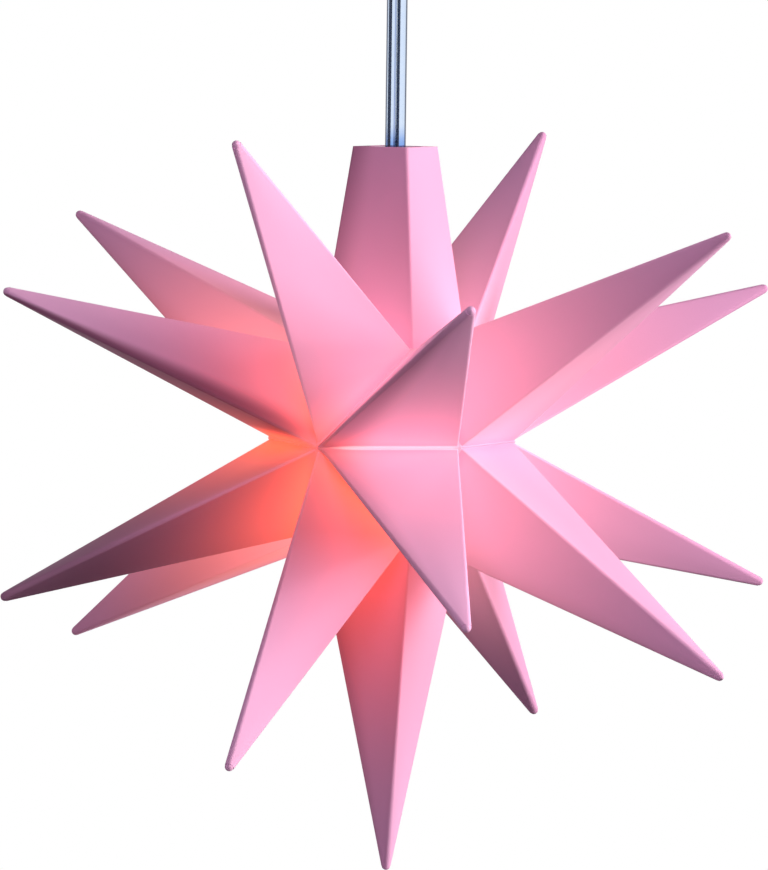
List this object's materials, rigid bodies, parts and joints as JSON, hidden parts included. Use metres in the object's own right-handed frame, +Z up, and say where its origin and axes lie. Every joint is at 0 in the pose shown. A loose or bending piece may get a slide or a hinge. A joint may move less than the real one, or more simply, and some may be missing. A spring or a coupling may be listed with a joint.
{
  "type": "star pendant light",
  "caption": "Hollow many-pointed plastic star with a lamp inside, hung by a clear flat twin cable from a small round ceiling fitting; it swings, turns and pulls off its lamp.",
  "frame": {"origin": "centre of the ceiling plate's upper face, where the fitting meets the ceiling", "axes": "+Z up, out of the ceiling plate's face; the cable hangs along -Z; -Y is the side the picture is taken from"},
  "size_m": [0.2206, 0.2308, 0.2876],
  "materials": {
    "star_plastic": "translucent pink moulded plastic, satin",
    "clip_plastic": "natural moulded plastic",
    "clear_cable": "clear flexible cable sheath",
    "tinned_copper": "stranded tinned copper",
    "white_plastic": "moulded, satin",
    "plug_plastic": "moulded, matt",
    "washer_plastic": "waxy low-friction plastic",
    "block_plastic": "natural nylon",
    "driver_case": "moulded, fine texture",
    "wire_sleeve": "extruded wire sleeve",
    "foam_pad": "closed-cell foam",
    "seal_rubber": "smooth",
    "plated_steel": "zinc plated",
    "brass": "turned",
    "aluminium": "drawn",
    "board": "white solder mask",
    "led": "phosphor lens",
    "opal_plastic": "opal, satin"
  },
  "bodies": {
    "ceiling": {"ceiling_plate": "plated_steel", "canopy": "white_plastic", "canopy_screws": "plated_steel", "led_driver": "driver_case", "driver_pad": "foam_pad", "terminal_block": "block_plastic", "terminal_screws": "brass", "block_screw": "plated_steel", "feed_wires": "wire_sleeve", "driver_tails": "wire_sleeve", "swivel_washer": "washer_plastic"},
    "swivel": {"swivel_bush": "white_plastic"},
    "lamp": {"cord": "clear_cable", "cord_cores": "tinned_copper", "cord_ferrule": "brass", "ferrule_screw": "plated_steel", "lamp_plug": "plug_plastic", "collar_ring": "plated_steel", "cord_stop": "brass", "lamp_stem": "aluminium", "led_core": "aluminium", "led_board": "board", "leds": "led", "diffuser": "opal_plastic"},
    "collar": {"plug_collar": "plug_plastic", "plug_o_ring": "seal_rubber"},
    "star": {"neck_point": "star_plastic", "bottom_point": "star_plastic", "right_upper_point": "star_plastic", "right_lower_point": "star_plastic", "left_upper_point": "star_plastic", "left_lower_point": "star_plastic", "front_top_point": "star_plastic", "front_right_upper_point": "star_plastic", "front_right_lower_point": "star_plastic", "front_bottom_point": "star_plastic", "front_left_lower_point": "star_plastic", "front_left_upper_point": "star_plastic", "rear_top_point": "star_plastic", "rear_right_upper_point": "star_plastic", "rear_right_lower_point": "star_plastic", "rear_bottom_point": "star_plastic", "rear_left_lower_point": "star_plastic", "rear_left_upper_point": "star_plastic", "edge_clips": "clip_plastic"}
  },
  "joints": [
    {"name": "cable_swivel", "type": "hinge", "parent": "ceiling", "child": "swivel", "pos_m": [0, 0, -0.022], "axis": [0, 0, 1], "range_deg": [-180, 180]},
    {"name": "cable_swing", "type": "hinge", "parent": "swivel", "child": "lamp", "pos_m": [0, 0, -0.022], "axis": [1, 0, 0], "range_deg": [-20, 20]},
    {"name": "star_turn", "type": "hinge", "parent": "lamp", "child": "collar", "pos_m": [0, 0, -0.085], "axis": [0, 0, 1], "range_deg": [-180, 180]},
    {"name": "star_release", "type": "slide", "parent": "collar", "child": "star", "axis": [0, 0, -1], "range_m": [0, 0.1]}
  ]
}
